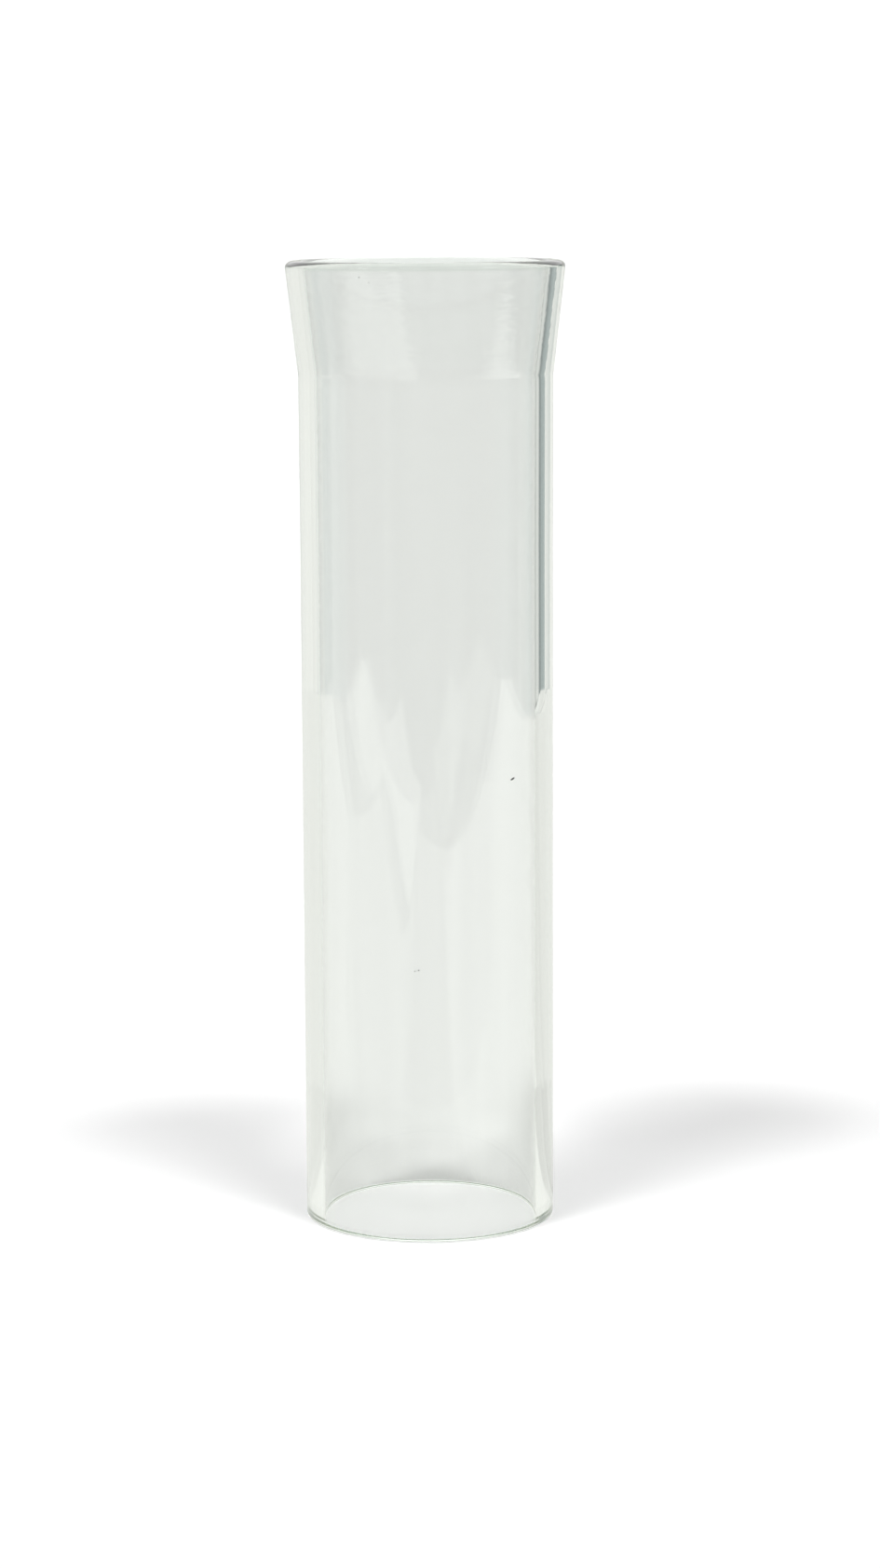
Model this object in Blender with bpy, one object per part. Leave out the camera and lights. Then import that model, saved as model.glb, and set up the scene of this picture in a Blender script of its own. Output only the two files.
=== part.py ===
"""A heavy-walled laboratory glass tube, open at both ends, with a flared mouth.

The tube stands on its flat, ground foot. Its upper end opens into a short
straight cone and finishes in a rounded, fire-polished rim. It is one piece of
glass, so the model is one turned body.

Units are metres and +Z is up. The origin is the centre of the foot's plane.
"""

from math import cos, pi, radians, sin, tan

import bmesh
import bpy
from mathutils import Vector

# Driving dimensions
TUBE_DIAMETER = 0.060
WALL = 0.0042
HEIGHT = 0.2296
FLARE_LENGTH = 0.0267
FLARE_ANGLE = radians(6.5)
SWELL = 0.00013
SWELL_LENGTH = 0.040
RIM_CROWN = 0.0016
FOOT_ROUNDING = 0.0004

# Smoothness
SIDES = 96
RIM_STEPS = 12
FOOT_STEPS = 4

# Finish
GLASS_COLOUR = (0.86, 0.89, 0.87, 1.0)
GLASS_ROUGHNESS = 0.03
GLASS_IOR = 1.473

# Worked out from the driving dimensions
OUTER_RADIUS = TUBE_DIAMETER / 2
NECK_RADIUS = OUTER_RADIUS + SWELL
NECK_HEIGHT = HEIGHT - FLARE_LENGTH
CROWN_HEIGHT = HEIGHT - RIM_CROWN
MOUTH_RADIUS = NECK_RADIUS + (CROWN_HEIGHT - NECK_HEIGHT) * tan(FLARE_ANGLE)


def clear_scene():
    """Remove whatever a new Blender scene holds."""
    for old in list(bpy.data.objects):
        bpy.data.objects.remove(old, do_unlink=True)


def arc(centre_r, centre_z, radius_r, radius_z, start, end, steps):
    """Points of an elliptical arc in the turning plane, both ends included."""
    points = []
    for step in range(steps + 1):
        angle = start + (end - start) * step / steps
        points.append((centre_r + radius_r * cos(angle), centre_z + radius_z * sin(angle)))
    return points


def wall_outline():
    """The wall's closed outline as (radius, height), up the outside and down the inside."""
    foot = FOOT_ROUNDING
    outer_foot = arc(OUTER_RADIUS - foot, foot, foot, foot, -pi / 2, 0.0, FOOT_STEPS)
    outer_side = [(OUTER_RADIUS, NECK_HEIGHT - SWELL_LENGTH), (NECK_RADIUS, NECK_HEIGHT)]
    rim = arc(MOUTH_RADIUS - WALL / 2, CROWN_HEIGHT, WALL / 2, RIM_CROWN, 0.0, pi, RIM_STEPS)
    inner_side = [(NECK_RADIUS - WALL, NECK_HEIGHT), (OUTER_RADIUS - WALL, NECK_HEIGHT - SWELL_LENGTH)]
    inner_foot = arc(OUTER_RADIUS - WALL + foot, foot, foot, foot, pi, 1.5 * pi, FOOT_STEPS)
    return outer_foot + outer_side + rim + inner_side + inner_foot


def turn(name, outline):
    """Turn a closed outline once around Z into one closed body."""
    mesh = bpy.data.meshes.new(name)
    bm = bmesh.new()
    section = [bm.verts.new((radius, 0.0, height)) for radius, height in outline]
    edges = [bm.edges.new((section[i - 1], section[i])) for i in range(len(section))]
    bmesh.ops.spin(
        bm,
        geom=section + edges,
        cent=Vector((0.0, 0.0, 0.0)),
        axis=Vector((0.0, 0.0, 1.0)),
        angle=2 * pi,
        steps=SIDES,
        use_merge=True,
    )
    bmesh.ops.recalc_face_normals(bm, faces=bm.faces)
    bm.to_mesh(mesh)
    bm.free()
    mesh.shade_smooth()
    mesh.set_sharp_from_angle(angle=radians(40))
    body = bpy.data.objects.new(name, mesh)
    bpy.context.scene.collection.objects.link(body)
    return body


def clear_glass():
    """Faintly green clear glass."""
    material = bpy.data.materials.new("glass")
    material.use_nodes = True
    shader = material.node_tree.nodes["Principled BSDF"]
    shader.inputs["Base Color"].default_value = GLASS_COLOUR
    shader.inputs["Roughness"].default_value = GLASS_ROUGHNESS
    shader.inputs["Metallic"].default_value = 0.0
    shader.inputs["IOR"].default_value = GLASS_IOR
    shader.inputs["Transmission Weight"].default_value = 1.0
    return material


def main():
    clear_scene()
    tube = turn("flared_glass_tube", wall_outline())
    tube.data.materials.append(clear_glass())


main()
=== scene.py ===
"""Looks of the flared glass tube: fine glass surface, glass material, studio and camera."""

from math import cos, hypot, pi, radians, sin

import bmesh
import bpy
from mathutils import Matrix, Vector


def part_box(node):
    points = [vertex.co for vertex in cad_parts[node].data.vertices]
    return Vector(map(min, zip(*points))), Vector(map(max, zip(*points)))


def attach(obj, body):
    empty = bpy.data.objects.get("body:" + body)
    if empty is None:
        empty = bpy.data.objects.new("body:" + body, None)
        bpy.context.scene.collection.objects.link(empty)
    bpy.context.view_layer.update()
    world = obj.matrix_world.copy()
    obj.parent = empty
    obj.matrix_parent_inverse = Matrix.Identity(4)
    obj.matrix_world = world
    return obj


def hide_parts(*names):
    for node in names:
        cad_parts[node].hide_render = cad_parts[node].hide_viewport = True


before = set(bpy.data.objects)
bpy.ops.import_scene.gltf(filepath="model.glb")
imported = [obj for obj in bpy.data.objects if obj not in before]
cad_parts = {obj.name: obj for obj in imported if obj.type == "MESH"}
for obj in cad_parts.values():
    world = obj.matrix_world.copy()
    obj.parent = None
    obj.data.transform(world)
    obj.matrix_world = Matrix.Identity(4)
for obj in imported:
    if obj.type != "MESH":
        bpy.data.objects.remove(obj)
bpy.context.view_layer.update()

CAD_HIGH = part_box("flared_glass_tube")[1]

# Glass, in metres. The height and mouth radius come from the CAD box.
HEIGHT = CAD_HIGH[2]
MOUTH_RADIUS = CAD_HIGH[0]
OUTER_RADIUS = 0.030
WALL = 0.0042
FLARE_LENGTH = 0.0267
SWELL = 0.00013
SWELL_LENGTH = 0.040
RIM_CROWN = 0.0016
FOOT_ROUNDING = 0.0004
GUARD = 0.00012
SIDES = 384
NECK_HEIGHT = HEIGHT - FLARE_LENGTH
NECK_RADIUS = OUTER_RADIUS + SWELL
CROWN_HEIGHT = HEIGHT - RIM_CROWN

GLASS_IOR = 1.473
GLASS_BODY_COLOUR = (0.535, 0.60, 0.475, 1.0)
GLASS_BODY_DENSITY = 4.5
GLASS_SURFACE_TONE = (0.906, 0.917, 0.901)
FLARE_TONE = 0.965
# Painted shade: the glass's colour is darker on the rim's crown
RIM_PAINTED_SHADE_TONE = (0.797, 0.838, 0.797)
SMUDGE_ROUGHNESS = 0.025
DRAW_LINE_DEPTH = 1e-6
RIDGE_DEPTH = 4e-6
RIPPLE_DEPTH = 2e-5

# Stones in the glass: bearing from the front, height, radius, half length, half width, tilt
STONES = [
    (42.0, 0.1096, 0.0293, 0.00068, 0.00023, 22.0),
    (-4.6, 0.0656, 0.0295, 0.00019, 0.00015, 0.0),
    (-6.4, 0.0654, 0.0295, 0.00013, 0.00013, 0.0),
    (-27.9, 0.2263, 0.0320, 0.00020, 0.00010, 30.0),
    (-23.5, 0.2251, 0.0320, 0.00011, 0.00011, 0.0),
]

# Camera
CAMERA_DISTANCE = 0.9132
CAMERA_HEIGHT = 0.2490
CAMERA_PITCH = radians(8.96)
CAMERA_YAW = radians(0.182)
CAMERA_ROLL = radians(-0.278)
CAMERA_LENS = 88.54
SENSOR_HEIGHT = 36.0

# Studio. Direct light sees the pale floor and the sky. Light that the glass has mirrored sees a room of
# bright and dark cards instead. Lengths are in metres, and brightness 1 is white.
FLOOR_Z = -0.0002
FLOOR_REACH = 20.0
ROOM_DEPTH = 0.004
FLOOR_MATT = 0.87
FLOOR_GLOW = 0.25
# Painted light on the floor: under the glass, in a ring round its foot, behind it and beside it, where the
# glass lets no sunlight through
FOOT_PAINTED_LIGHT = 0.22
RING_PAINTED_LIGHT = 0.30
BACK_PAINTED_LIGHT = 0.18
SIDE_PAINTED_LIGHT = 0.09
# Painted shadow on the floor at the far end of the shadow cast to the right, under the mouth
MOUTH_PAINTED_SHADOW = -0.045
ROOM_GLOW = 0.08
ROOM_TINT = (0.94, 1.03, 1.02)
CURTAIN_TINT = (0.82, 1.00, 1.00)
CARD_TINT = (1.0, 1.015, 0.975)
CEILING_GLOW = 1.0
CEILING_FADE = (-0.06, 0.26)
SCATTERED_GLOW = 0.80
SKY_GLOW = 1.074
FILL_GLOW = 0.3

# Two softboxes in front: name, azimuth from the camera's side, elevation, strength
SOFTBOXES = [
    ("softbox_left", -41.5, 61.0, 0.59),
    ("softbox_right", 35.0, 65.0, 0.55),
]
SOFTBOX_TURN = 6.0
SOFTBOX_ANGLE = radians(10)
SOFTBOX_DISTANCE = 1.5

# Small bright windows that the rim mirrors: azimuths, heights, distance, brightness
WINDOW_AZIMUTHS = (51, 65)
WINDOW_HEIGHTS = (0.75, 1.1)
WINDOW_DISTANCE = 1.4
WINDOW_GLOW = 4.0

# Backdrop seen by mirrored light: from bearing, to bearing, brightness, distance at each end
BACKDROP = [
    (-95.0, -61.0, 0.42, 1.0, 1.0),
    (-61.0, -52.0, 0.72, 1.0, 1.0),
    (-52.0, -20.0, 0.95, 1.0, 1.0),
    (-20.0, 20.0, 0.90, 1.0, 1.0),
    (20.0, 29.0, 1.00, 1.0, 1.0),
    (29.0, 38.7, 0.39, 1.0, 1.0),
    (38.7, 43.0, 0.25, 1.0, 0.99),
    (43.0, 45.0, 0.65, 0.99, 0.982),
    (45.0, 49.0, 0.85, 0.982, 0.966),
    (49.0, 57.0, 0.65, 0.966, 0.933),
    (57.0, 66.0, 0.42, 0.933, 0.925),
    (66.0, 80.0, 0.34, 0.925, 0.938),
]

# Far part of the table seen by mirrored light: from bearing, to bearing, brightness
FAR_TABLE = [(-84, -20, 0.91), (-20, 20, 0.89), (20, 44, 0.88), (44, 64, 0.83)]
SHADOW_LENGTH = 0.16
CARD_SPLIT = 0.40
CARD_TOP = 1.6
UPPER_GLOW = 1.5


def lerp(a, b, t):
    """The value a share t of the way from a to b."""
    return a + (b - a) * t


def arc(centre_r, centre_z, radius_r, radius_z, start, end, steps):
    """Points of an elliptical arc, without its last point."""
    points = []
    for i in range(steps):
        angle = lerp(start, end, i / steps)
        points.append((centre_r + radius_r * cos(angle), centre_z + radius_z * sin(angle)))
    return points


def line(start, end, steps):
    """Points of a straight line, without its last point."""
    return [(lerp(start[0], end[0], i / steps), lerp(start[1], end[1], i / steps)) for i in range(steps)]


def guarded_line(start, end, steps):
    """A straight line with a close first and last step, so that shading stays flat up to both ends."""
    share = GUARD / hypot(end[0] - start[0], end[1] - start[1])
    near = tuple(lerp(a, b, share) for a, b in zip(start, end))
    far = tuple(lerp(a, b, 1.0 - share) for a, b in zip(start, end))
    return [start] + line(near, far, steps) + [far]


def wall_outline():
    """The wall's closed outline as (radius, height), up the outside and down the inside."""
    foot = FOOT_ROUNDING
    swell_z = NECK_HEIGHT - SWELL_LENGTH
    inner = OUTER_RADIUS - WALL
    points = arc(OUTER_RADIUS - foot, foot, foot, foot, -pi / 2, 0.0, 8)
    points += line((OUTER_RADIUS, foot), (OUTER_RADIUS, foot + GUARD), 1)
    points += line((OUTER_RADIUS, foot + GUARD), (OUTER_RADIUS, swell_z), 60)
    points += line((OUTER_RADIUS, swell_z), (NECK_RADIUS, NECK_HEIGHT), 20)
    points += guarded_line((NECK_RADIUS, NECK_HEIGHT), (MOUTH_RADIUS, CROWN_HEIGHT), 40)
    points += arc(MOUTH_RADIUS - WALL / 2, CROWN_HEIGHT, WALL / 2, RIM_CROWN, 0.0, pi, 24)
    points += guarded_line((MOUTH_RADIUS - WALL, CROWN_HEIGHT), (NECK_RADIUS - WALL, NECK_HEIGHT), 40)
    points += line((NECK_RADIUS - WALL, NECK_HEIGHT), (inner, swell_z), 20)
    points += line((inner, swell_z), (inner, foot + GUARD), 60)
    points += line((inner, foot + GUARD), (inner, foot), 1)
    points += arc(inner + foot, foot, foot, foot, pi, 1.5 * pi, 8)
    points += guarded_line((inner + foot, 0.0), (OUTER_RADIUS - foot, 0.0), 3)
    return points


def turned_mesh(name, outline, sides):
    """A closed outline turned once round Z."""
    mesh = bpy.data.meshes.new(name)
    bm = bmesh.new()
    rings = []
    for side in range(sides):
        angle = 2 * pi * side / sides
        rings.append([bm.verts.new((r * cos(angle), r * sin(angle), z)) for r, z in outline])
    for side in range(sides):
        here, there = rings[side], rings[(side + 1) % sides]
        for i in range(len(outline)):
            j = (i + 1) % len(outline)
            bm.faces.new((here[i], there[i], there[j], here[j]))
    bmesh.ops.recalc_face_normals(bm, faces=bm.faces)
    bm.to_mesh(mesh)
    bm.free()
    mesh.shade_smooth()
    return mesh


def node(tree, kind, **settings):
    """Add a node; capitalised settings are inputs, written with _ for each space."""
    added = tree.nodes.new(kind)
    for key, value in settings.items():
        if key[0].isupper():
            added.inputs[key.replace("_", " ")].default_value = value
        else:
            setattr(added, key, value)
    return added


def stretched_noise(tree, place, stretch, detail):
    """Noise on the glass, with its grain pulled out by three scales in grains per metre."""
    scaled = node(tree, "ShaderNodeVectorMath", operation="MULTIPLY")
    scaled.inputs[1].default_value = stretch
    tree.links.new(place, scaled.inputs[0])
    noise = node(tree, "ShaderNodeTexNoise", Scale=1.0, Detail=detail, Roughness=0.5)
    tree.links.new(scaled.outputs[0], noise.inputs["Vector"])
    return noise.outputs["Fac"]


def scaled_sum(tree, first, factor, second=None):
    """first x factor + second"""
    added = node(tree, "ShaderNodeMath", operation="MULTIPLY_ADD")
    tree.links.new(first, added.inputs[0])
    if isinstance(factor, float):
        added.inputs[1].default_value = factor
    else:
        tree.links.new(factor, added.inputs[1])
    if second is None:
        added.inputs[2].default_value = 0.0
    else:
        tree.links.new(second, added.inputs[2])
    return added.outputs[0]


def ramp(tree, value, from_min, from_max, to_min, to_max):
    added = node(
        tree, "ShaderNodeMapRange", interpolation_type="SMOOTHSTEP",
        From_Min=from_min, From_Max=from_max, To_Min=to_min, To_Max=to_max,
    )
    tree.links.new(value, added.inputs["Value"])
    return added.outputs["Result"]


def surface_relief(tree, place, height):
    """Height in metres: draw lines along the tube, and tool ridges and ripples round the flare."""
    draw_lines = stretched_noise(tree, place, (650.0, 650.0, 5.0), 2.0)
    ridges = stretched_noise(tree, place, (30.0, 30.0, 2200.0), 1.0)
    ripples = stretched_noise(tree, place, (220.0, 220.0, 650.0), 1.0)
    flare = ramp(tree, height, NECK_HEIGHT - 0.001, NECK_HEIGHT + 0.002, 0.0, 1.0)
    relief = scaled_sum(tree, ridges, RIDGE_DEPTH)
    relief = scaled_sum(tree, ripples, RIPPLE_DEPTH, relief)
    relief = scaled_sum(tree, relief, flare)
    return scaled_sum(tree, draw_lines, DRAW_LINE_DEPTH, relief)


def glass_colour(tree, place, height):
    """Nearly clear, with faint streaks along the tube, a little darker over the flare, and darker on the
    rim's crown as painted shade.
    """
    streaks = stretched_noise(tree, place, (220.0, 220.0, 4.0), 3.0)
    streak_tone = ramp(tree, streaks, 0.35, 0.65, 1.0, 0.985)
    flare_tone = ramp(tree, height, NECK_HEIGHT - 0.004, NECK_HEIGHT + 0.004, 1.0, FLARE_TONE)
    tone = scaled_sum(tree, streak_tone, flare_tone)
    colour = node(tree, "ShaderNodeCombineColor")
    for channel, on_wall, rim_painted_shade in zip(("Red", "Green", "Blue"), GLASS_SURFACE_TONE, RIM_PAINTED_SHADE_TONE):
        # Painted shade on the rim's crown
        tone_with_rim_shade = ramp(tree, height, CROWN_HEIGHT - 0.0008, CROWN_HEIGHT + 0.0004, on_wall, rim_painted_shade)
        tree.links.new(scaled_sum(tree, tone, tone_with_rim_shade), colour.inputs[channel])
    return colour.outputs["Color"]


def glass_material():
    """Clear heavy glass: a faint grey-green in its skin and its body, painted shade on its rim's crown, and
    fine relief and smudges.
    """
    material = bpy.data.materials.new("clear_glass")
    material.use_nodes = True
    tree = material.node_tree
    shader = tree.nodes["Principled BSDF"]
    shader.inputs["IOR"].default_value = GLASS_IOR
    shader.inputs["Transmission Weight"].default_value = 1.0
    place = node(tree, "ShaderNodeTexCoord").outputs["Object"]
    split = node(tree, "ShaderNodeSeparateXYZ")
    tree.links.new(place, split.inputs[0])
    height = split.outputs["Z"]
    tree.links.new(glass_colour(tree, place, height), shader.inputs["Base Color"])
    smudges = stretched_noise(tree, place, (60.0, 60.0, 45.0), 4.0)
    tree.links.new(ramp(tree, smudges, 0.45, 0.75, 0.0, SMUDGE_ROUGHNESS), shader.inputs["Roughness"])
    bump = node(tree, "ShaderNodeBump", Strength=1.0, Distance=1.0)
    tree.links.new(surface_relief(tree, place, height), bump.inputs["Height"])
    tree.links.new(bump.outputs["Normal"], shader.inputs["Normal"])
    body = node(tree, "ShaderNodeVolumeAbsorption", Color=GLASS_BODY_COLOUR, Density=GLASS_BODY_DENSITY)
    tree.links.new(body.outputs[0], tree.nodes["Material Output"].inputs["Volume"])
    return material


def stone_material():
    """Dark unmelted grains, which glassmakers call stones."""
    material = bpy.data.materials.new("stone")
    material.use_nodes = True
    tree = material.node_tree
    shader = tree.nodes["Principled BSDF"]
    shader.inputs["Roughness"].default_value = 0.7
    place = node(tree, "ShaderNodeTexCoord").outputs["Object"]
    grain = stretched_noise(tree, place, (9000.0, 9000.0, 9000.0), 2.0)
    tone = ramp(tree, grain, 0.3, 0.7, 0.02, 0.10)
    colour = node(tree, "ShaderNodeCombineColor")
    for channel in ("Red", "Green", "Blue"):
        tree.links.new(tone, colour.inputs[channel])
    tree.links.new(colour.outputs["Color"], shader.inputs["Base Color"])
    return material


def make_stones():
    """Small grains just under the outer surface: bearing and tilt in degrees, the rest in metres."""
    bm = bmesh.new()
    for bearing, height, radius, half_length, half_width, tilt in STONES:
        grain = bmesh.ops.create_icosphere(bm, subdivisions=2, radius=1.0)["verts"]
        turn = Matrix.Rotation(radians(bearing), 4, "Z")
        shift = Matrix.Translation((0.0, -radius, height))
        lean = Matrix.Rotation(radians(-tilt), 4, "Y")
        size = Matrix.Diagonal((half_length, half_width * 0.6, half_width, 1.0))
        bmesh.ops.transform(bm, matrix=turn @ shift @ lean @ size, verts=grain)
    mesh = bpy.data.meshes.new("glass_stones")
    bm.to_mesh(mesh)
    bm.free()
    mesh.shade_smooth()
    mesh.materials.append(stone_material())
    stones = bpy.data.objects.new("glass_stones", mesh)
    bpy.context.scene.collection.objects.link(stones)
    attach(stones, "root")


def make_glass():
    mesh = turned_mesh("glass_wall", wall_outline(), SIDES)
    glass = bpy.data.objects.new("glass_wall", mesh)
    bpy.context.scene.collection.objects.link(glass)
    mesh.materials.append(glass_material())
    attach(glass, "root")
    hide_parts("flared_glass_tube")


# Studio


def mirrored_switch(tree, times=1):
    """A socket that is 1 for light that the glass has mirrored so many times or more, else 0."""
    test = node(tree, "ShaderNodeMath", operation="GREATER_THAN")
    test.inputs[1].default_value = times - 0.5
    tree.links.new(node(tree, "ShaderNodeLightPath").outputs["Glossy Depth"], test.inputs[0])
    return test.outputs[0]


def stage_mesh(name, points, faces):
    mesh = bpy.data.meshes.new(name)
    mesh.from_pydata(points, [], faces)
    obj = bpy.data.objects.new(name, mesh)
    bpy.context.scene.collection.objects.link(obj)
    return obj


def switched_material(name, direct, mirrored):
    """A stage material: one shader for direct light, another one for mirrored light."""
    material = bpy.data.materials.new(name)
    material.use_nodes = True
    tree = material.node_tree
    tree.nodes.remove(tree.nodes["Principled BSDF"])
    mix = tree.nodes.new("ShaderNodeMixShader")
    tree.links.new(mirrored_switch(tree), mix.inputs[0])
    tree.links.new(direct(tree), mix.inputs[1])
    tree.links.new(mirrored(tree), mix.inputs[2])
    tree.links.new(mix.outputs[0], tree.nodes["Material Output"].inputs["Surface"])
    return material


def clear(tree):
    """A shader that lets light pass unchanged."""
    return tree.nodes.new("ShaderNodeBsdfTransparent").outputs[0]


def spot(tree, place, centre, inner, outer, strength, narrowing=1.0):
    """Floor glow, painted light or painted shadow that fades from full strength at one distance from a floor
    point to none at another.
    """
    away = node(tree, "ShaderNodeVectorMath", operation="SUBTRACT")
    away.inputs[1].default_value = (*centre, FLOOR_Z)
    tree.links.new(place, away.inputs[0])
    narrow = node(tree, "ShaderNodeVectorMath", operation="MULTIPLY")
    narrow.inputs[1].default_value = (narrowing, 1.0, 1.0)
    tree.links.new(away.outputs[0], narrow.inputs[0])
    length = node(tree, "ShaderNodeVectorMath", operation="LENGTH")
    tree.links.new(narrow.outputs[0], length.inputs[0])
    return ramp(tree, length.outputs["Value"], inner, outer, strength, 0.0)


def total(tree, values):
    """The sum of all the sockets in a list."""
    result = values[0]
    for value in values[1:]:
        added = node(tree, "ShaderNodeMath", operation="ADD")
        tree.links.new(result, added.inputs[0])
        tree.links.new(value, added.inputs[1])
        result = added.outputs[0]
    return result


def pale_floor(tree):
    """Matt pale floor with an even glow of its own, plus painted light under the glass, in a ring round its
    foot, behind it and beside it, and a painted shadow at the far end of the shadow cast to the right, under
    the mouth.
    """
    matt = node(tree, "ShaderNodeBsdfDiffuse", Color=(FLOOR_MATT, FLOOR_MATT, FLOOR_MATT, 1.0))
    place = node(tree, "ShaderNodeNewGeometry").outputs["Position"]
    glow_and_painted_light = [
        spot(tree, place, (0.0, 0.0), 90.0, 100.0, FLOOR_GLOW),
        # Painted light under, round, behind and beside the glass
        spot(tree, place, (0.0, 0.0), 0.0290, 0.0306, FOOT_PAINTED_LIGHT),
        spot(tree, place, (0.0, 0.0), 0.0285, 0.0303, RING_PAINTED_LIGHT),
        spot(tree, place, (0.0, 0.0), 0.0250, 0.0275, -RING_PAINTED_LIGHT),
        spot(tree, place, (0.0, 0.038), 0.006, 0.034, BACK_PAINTED_LIGHT),
        spot(tree, place, (-0.026, 0.068), 0.012, 0.044, SIDE_PAINTED_LIGHT, 1.8),
        spot(tree, place, (0.026, 0.068), 0.012, 0.044, SIDE_PAINTED_LIGHT, 1.8),
        # Painted shadow at the far end of the shadow cast to the right
        spot(tree, place, (0.084, 0.095), 0.012, 0.060, MOUTH_PAINTED_SHADOW),
    ]
    light = node(tree, "ShaderNodeEmission")
    tree.links.new(total(tree, glow_and_painted_light), light.inputs["Strength"])
    both = node(tree, "ShaderNodeAddShader")
    tree.links.new(matt.outputs[0], both.inputs[0])
    tree.links.new(light.outputs[0], both.inputs[1])
    return both.outputs[0]


def glow(brightness, tint=(1.0, 1.0, 1.0)):
    """A shader builder for an evenly glowing card."""

    def add(tree):
        shader = tree.nodes.new("ShaderNodeEmission")
        shader.inputs["Color"].default_value = (*tint, 1.0)
        shader.inputs["Strength"].default_value = brightness
        return shader.outputs[0]

    return add


def make_floor():
    """The pale floor for direct light, and just below it the dark floor of the mirrored room."""
    reach = FLOOR_REACH
    corners = [(-reach, -reach), (reach, -reach), (reach, reach), (-reach, reach)]
    floor = stage_mesh("floor", [(x, y, FLOOR_Z) for x, y in corners], [(0, 1, 2, 3)])
    floor.data.materials.append(switched_material("floor", pale_floor, clear))
    under = stage_mesh("room_floor", [(x, y, FLOOR_Z - ROOM_DEPTH) for x, y in corners], [(0, 1, 2, 3)])
    under.data.materials.append(switched_material("room_floor", clear, glow(ROOM_GLOW, ROOM_TINT)))


def flat_card(name, corners, depth, brightness):
    """A card under the floor, which only mirrored light sees."""
    points = [(x, y, FLOOR_Z - depth) for x, y in corners]
    card = stage_mesh(name, points, [tuple(range(len(points)))])
    card.data.materials.append(switched_material(name, clear, glow(brightness, CARD_TINT)))


def at_bearing(bearing, distance):
    """A floor point seen from the glass at a bearing, counted to the right of straight behind."""
    return distance * sin(radians(bearing)), distance * cos(radians(bearing))


def standing_card(name, sector, heights, brightness, tint=(1.0, 1.0, 1.0)):
    """A curved upright card round the glass, from one bearing and distance to another."""
    start, end, near, far = sector
    steps = 12
    points = []
    for step in range(steps + 1):
        x, y = at_bearing(lerp(start, end, step / steps), lerp(near, far, step / steps))
        points += [(x, y, height) for height in heights]
    faces = [(2 * i, 2 * i + 2, 2 * i + 3, 2 * i + 1) for i in range(steps)]
    card = stage_mesh(name, points, faces)
    card.data.materials.append(switched_material(name, clear, glow(brightness, tint)))


def window_card(name, side):
    """A small bright card high in front, which the rim mirrors."""
    near, far = (at_bearing(180 - side * azimuth, WINDOW_DISTANCE) for azimuth in WINDOW_AZIMUTHS)
    low, high = WINDOW_HEIGHTS
    points = [(*near, low), (*far, low), (*far, high), (*near, high)]
    card = stage_mesh(name, points, [(0, 1, 2, 3)])
    card.data.materials.append(switched_material(name, clear, glow(WINDOW_GLOW)))


def disc(radius, sides=64):
    """Corners of a flat disc round the tube's axis."""
    return [(radius * cos(2 * pi * i / sides), radius * sin(2 * pi * i / sides)) for i in range(sides)]


def make_studio():
    """Floor and cards. The flat cards lie in layers, and the upper ones hide the lower ones."""
    make_floor()
    front_edge = [
        (-0.50, -0.53), (-0.40, -0.49), (-0.17, -0.375), (-0.13, -0.42), (-0.10, -0.62), (0.0, -0.60),
    ]
    far_edge = [at_bearing(bearing, 1.0) for bearing in range(41, -86, -3)]
    table = front_edge + [(1.02, -0.36), (1.06, -0.15), (0.80, 0.45)] + far_edge + [(-0.63, -0.15)]
    flat_card("table_card", table, 0.003, 1.0)
    left_part = front_edge + [(0.14, -0.567), (0.05, -0.06), (-0.3, -0.06), (-0.63, -0.15)]
    flat_card("left_card", left_part, 0.002, 0.6)
    sheet = [
        (-0.62, -0.68), (-0.50, -0.78), (-0.42, -0.92), (-0.18, -0.75), (-0.08, -0.73),
        (-0.10, -0.62), (-0.14, -0.44), (-0.36, -0.575), (-0.50, -0.585),
    ]
    flat_card("sheet_card", sheet, 0.002, 0.9)
    left_sheet = [
        (-0.50, -0.585), (-0.60, -0.74), (-1.04, -0.58), (-0.98, -0.20), (-0.80, -0.28), (-0.57, -0.40),
    ]
    flat_card("left_sheet_card", left_sheet, 0.002, 0.75)
    for start, end, brightness in FAR_TABLE:
        sector = [(0.0, 0.03)]
        for bearing in range(end, start - 1, -4):
            sector.append(at_bearing(bearing, 1.0 if bearing < 44 else 0.925))
        flat_card("far_table_%d" % (start + 100), sector, 0.0025, brightness)
    # The tube's two shadows and the shade under its foot, as the glass mirrors them
    for name, start, end, brightness in (("shade_left", -62, -32, 0.86), ("shade_right", 30, 62, 0.76)):
        sector = [(0.0, 0.0)] + [at_bearing(bearing, SHADOW_LENGTH) for bearing in range(end, start - 1, -5)]
        flat_card(name, sector, 0.0016, brightness)
    flat_card("foot_shade", disc(OUTER_RADIUS + 0.0015), 0.001, 0.75)
    for name, side in (("window_left", -1), ("window_right", 1)):
        window_card(name, side)
    for start, end, brightness, near, far in BACKDROP:
        tint = CURTAIN_TINT if brightness < 0.5 else CARD_TINT
        name = "backdrop_%d" % round(start + 100)
        sector = (start, end, near, far)
        standing_card(name, sector, (FLOOR_Z - ROOM_DEPTH, CARD_SPLIT), brightness, tint)
        standing_card(name + "_upper", sector, (CARD_SPLIT, CARD_TOP), UPPER_GLOW)


def aim(obj, target):
    """Turn an object so that its -Z axis points at a target."""
    direction = Vector(target) - obj.location
    obj.rotation_euler = direction.to_track_quat("-Z", "Y").to_euler()


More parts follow.
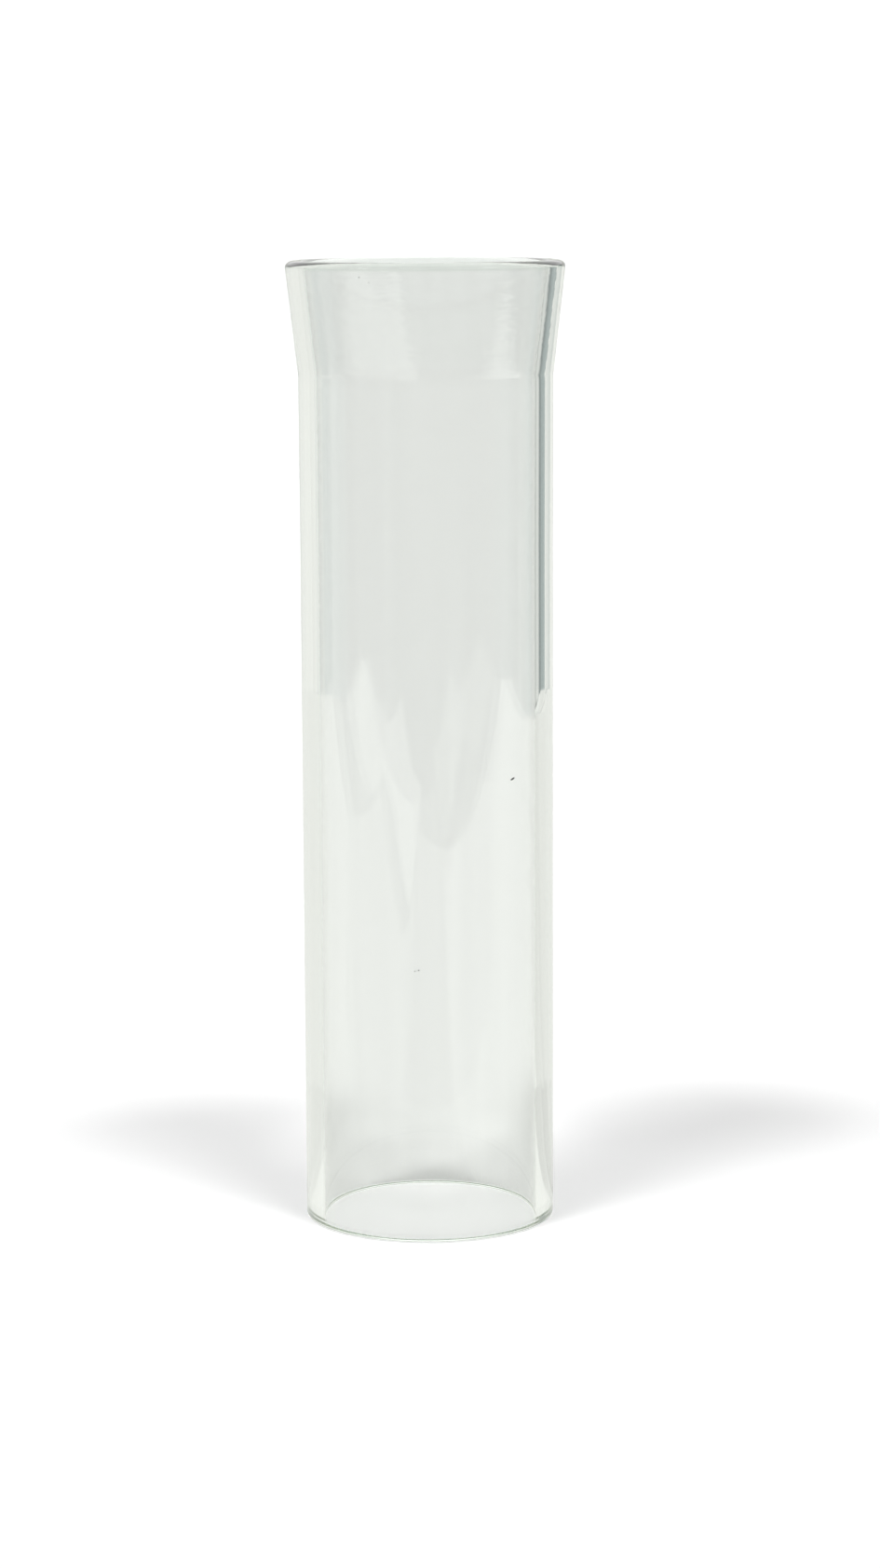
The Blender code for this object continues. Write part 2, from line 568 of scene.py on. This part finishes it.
def soft_sun(name, azimuth, elevation, strength):
    """A distant soft light that the glass neither mirrors nor lets through.

    Azimuth is counted from the camera's side, to the right.
    """
    light = bpy.data.lights.new(name, "SUN")
    light.energy = strength
    light.angle = SOFTBOX_ANGLE
    obj = bpy.data.objects.new(name, light)
    obj.location = (
        SOFTBOX_DISTANCE * cos(elevation) * sin(azimuth),
        -SOFTBOX_DISTANCE * cos(elevation) * cos(azimuth),
        SOFTBOX_DISTANCE * sin(elevation),
    )
    aim(obj, (0, 0, 0))
    obj.visible_glossy = False
    obj.visible_transmission = False
    bpy.context.scene.collection.objects.link(obj)


def make_lights():
    """Softboxes, and a world that is a pale sky for direct light and a room for mirrored light."""
    for turn in (-SOFTBOX_TURN, SOFTBOX_TURN):
        for name, azimuth, elevation, strength in SOFTBOXES:
            soft_sun(name, radians(azimuth + turn), radians(elevation), strength)
    world = bpy.data.worlds.new("studio")
    bpy.context.scene.world = world
    world.use_nodes = True
    tree = world.node_tree
    background = tree.nodes["Background"]
    background.inputs["Color"].default_value = (1.0, 1.0, 1.0, 1.0)
    path = tree.nodes.new("ShaderNodeLightPath")
    dim = tree.nodes.new("ShaderNodeMath")
    dim.operation = "MULTIPLY_ADD"
    dim.inputs[1].default_value = FILL_GLOW - SKY_GLOW
    dim.inputs[2].default_value = SKY_GLOW
    tree.links.new(path.outputs["Is Diffuse Ray"], dim.inputs[0])
    tree.links.new(dim.outputs[0], background.inputs["Strength"])
    room = node(tree, "ShaderNodeBackground", Color=(*ROOM_TINT, 1.0))
    split = node(tree, "ShaderNodeSeparateXYZ")
    tree.links.new(node(tree, "ShaderNodeTexCoord").outputs["Generated"], split.inputs[0])
    ceiling = ramp(tree, split.outputs["Z"], *CEILING_FADE, ROOM_GLOW, CEILING_GLOW)
    scattered = scaled_sum(tree, mirrored_switch(tree, 2), SCATTERED_GLOW)
    brightest = node(tree, "ShaderNodeMath", operation="MAXIMUM")
    tree.links.new(ceiling, brightest.inputs[0])
    tree.links.new(scattered, brightest.inputs[1])
    tree.links.new(brightest.outputs[0], room.inputs["Strength"])
    mix = tree.nodes.new("ShaderNodeMixShader")
    tree.links.new(mirrored_switch(tree), mix.inputs[0])
    tree.links.new(background.outputs[0], mix.inputs[1])
    tree.links.new(room.outputs[0], mix.inputs[2])
    tree.links.new(mix.outputs[0], tree.nodes["World Output"].inputs["Surface"])


def make_camera():
    data = bpy.data.cameras.new("camera")
    data.sensor_fit = "VERTICAL"
    data.sensor_height = SENSOR_HEIGHT
    data.lens = CAMERA_LENS
    data.clip_start = 0.01
    data.clip_end = 100.0
    camera = bpy.data.objects.new("camera", data)
    turn = Matrix.Rotation(-CAMERA_YAW, 4, "Z")
    tilt = Matrix.Rotation(pi / 2 - CAMERA_PITCH, 4, "X")
    roll = Matrix.Rotation(CAMERA_ROLL, 4, "Z")
    camera.matrix_world = Matrix.Translation((0.0, -CAMERA_DISTANCE, CAMERA_HEIGHT)) @ turn @ tilt @ roll
    bpy.context.scene.collection.objects.link(camera)
    bpy.context.scene.camera = camera


make_glass()
make_stones()
make_studio()
make_lights()
make_camera()

scene = bpy.context.scene
scene.view_settings.view_transform = "Standard"
scene.cycles.max_bounces = 96
scene.cycles.transmission_bounces = 24
scene.cycles.glossy_bounces = 96
scene.cycles.sample_clamp_indirect = 0.0
scene.cycles.use_adaptive_sampling = False
